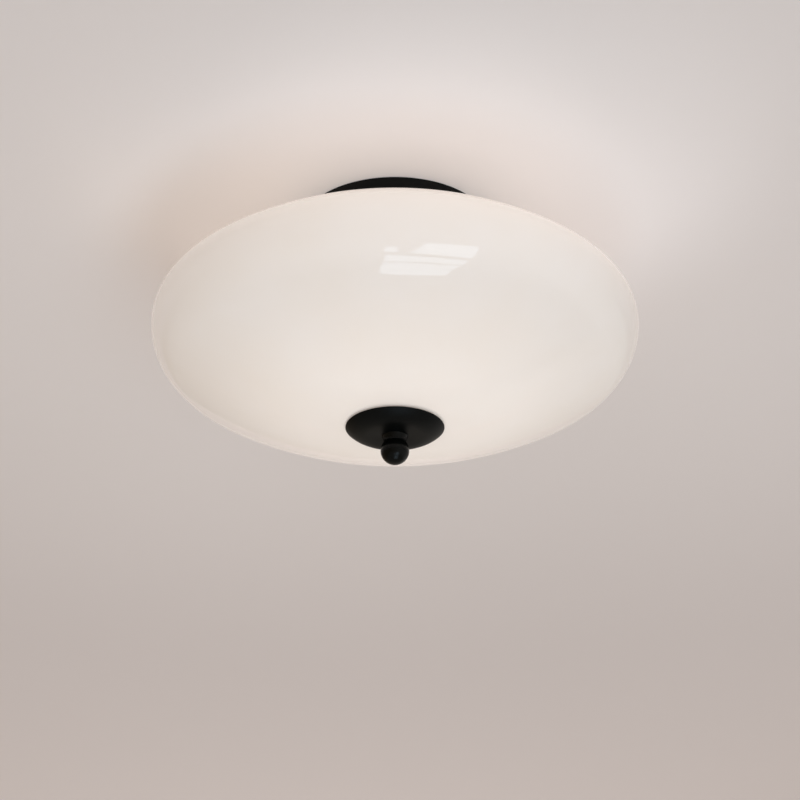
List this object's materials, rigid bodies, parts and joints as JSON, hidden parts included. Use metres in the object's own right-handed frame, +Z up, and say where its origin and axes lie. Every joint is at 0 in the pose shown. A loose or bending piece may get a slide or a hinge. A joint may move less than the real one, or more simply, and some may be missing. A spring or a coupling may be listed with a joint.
{
  "type": "ceiling light",
  "caption": "Ceiling light with an opal glass bowl, open at the top, on a centre rod under a round black canopy, held by a black domed cap and a ball finial.",
  "frame": {"origin": "centre of the ceiling strap's two screw slots, on the ceiling plane", "axes": "+Z up into the ceiling, the light hangs towards -Z; +X along the ceiling strap; -Y is the side the picture looks from"},
  "size_m": [0.38, 0.3798, 0.2093],
  "materials": {
    "black_coat": "satin black powder coat on steel",
    "opal_glass": "polished opal white glass, not see-through",
    "lamp_glass": "frosted opal white glass",
    "lamp_cap_metal": "rolled thread, bright",
    "zinc_steel": "bright zinc plate",
    "brass": "plain machined brass",
    "holder_plastic": "moulded thermoset, fine matt",
    "block_plastic": "natural nylon, slightly waxy",
    "silicone": "clear silicone rubber gone milky",
    "brown_lead": "brown insulation",
    "blue_lead": "blue insulation",
    "earth_lead_cover": "green insulation with a yellow stripe"
  },
  "bodies": {
    "ceiling_frame": {"canopy_pan": "black_coat", "side_screws": "black_coat", "spacer_sleeve": "black_coat", "ceiling_strap": "zinc_steel", "upper_rod": "zinc_steel", "canopy_nut": "zinc_steel", "canopy_lock_washer": "zinc_steel", "lid_nut": "zinc_steel", "hub_body": "zinc_steel", "hub_lid": "zinc_steel", "lid_screws": "zinc_steel", "lower_rod": "zinc_steel", "hub_floor_nut": "zinc_steel", "hub_lock_washer": "zinc_steel", "hub_lock_nut": "zinc_steel", "clamp_nut": "zinc_steel", "clamp_disc": "zinc_steel", "terminal_screws": "zinc_steel", "block_nuts": "zinc_steel", "earth_nut": "zinc_steel", "terminal_barrels": "brass", "earth_ring": "brass", "nipple_nuts": "brass", "holder_nipple_1": "brass", "holder_nipple_2": "brass", "holder_nipple_3": "brass", "screw_shell_1": "brass", "screw_shell_2": "brass", "screw_shell_3": "brass", "centre_contact_1": "brass", "centre_contact_2": "brass", "centre_contact_3": "brass", "lampholder_1": "holder_plastic", "lampholder_2": "holder_plastic", "lampholder_3": "holder_plastic", "terminal_block": "block_plastic", "rod_bush": "block_plastic", "hub_connector": "block_plastic", "live_lead": "brown_lead", "lamp_live_leads": "brown_lead", "neutral_lead": "blue_lead", "lamp_neutral_leads": "blue_lead", "earth_lead": "earth_lead_cover"},
    "shade": {"glass_bowl": "opal_glass", "upper_shade_washer": "silicone", "lower_shade_washer": "silicone"},
    "cap": {"bottom_cap": "black_coat", "spacer_ring": "block_plastic"},
    "finial_knob": {"finial": "black_coat", "finial_insert": "brass"},
    "lamp_1": {"lamp_cap_1": "lamp_cap_metal", "lamp_globe_1": "lamp_glass"},
    "lamp_2": {"lamp_cap_2": "lamp_cap_metal", "lamp_globe_2": "lamp_glass"},
    "lamp_3": {"lamp_cap_3": "lamp_cap_metal", "lamp_globe_3": "lamp_glass"}
  },
  "joints": [
    {"name": "shade_lower", "type": "slide", "parent": "ceiling_frame", "child": "shade", "axis": [0, 0, -1], "range_m": [0, 0.16]},
    {"name": "cap_travel", "type": "slide", "parent": "shade", "child": "cap", "axis": [0, 0, -1], "range_m": [0, 0.0125]},
    {"name": "finial_turn", "type": "hinge", "parent": "cap", "child": "finial_knob", "pos_m": [0, 0, -0.19], "axis": [0, 0, -1], "range_deg": [0, 3600]},
    {"name": "lamp_1_out", "type": "slide", "parent": "ceiling_frame", "child": "lamp_1", "axis": [0, 1, 0], "range_m": [0, 0.025]},
    {"name": "lamp_2_out", "type": "slide", "parent": "ceiling_frame", "child": "lamp_2", "axis": [-0.866, -0.5, 0], "range_m": [0, 0.025]},
    {"name": "lamp_3_out", "type": "slide", "parent": "ceiling_frame", "child": "lamp_3", "axis": [0.866, -0.5, 0], "range_m": [0, 0.025]}
  ],
  "couplings": [
    {"joint": "finial_turn", "follows": "cap_travel", "rad_per_m": 5026.5}
  ]
}
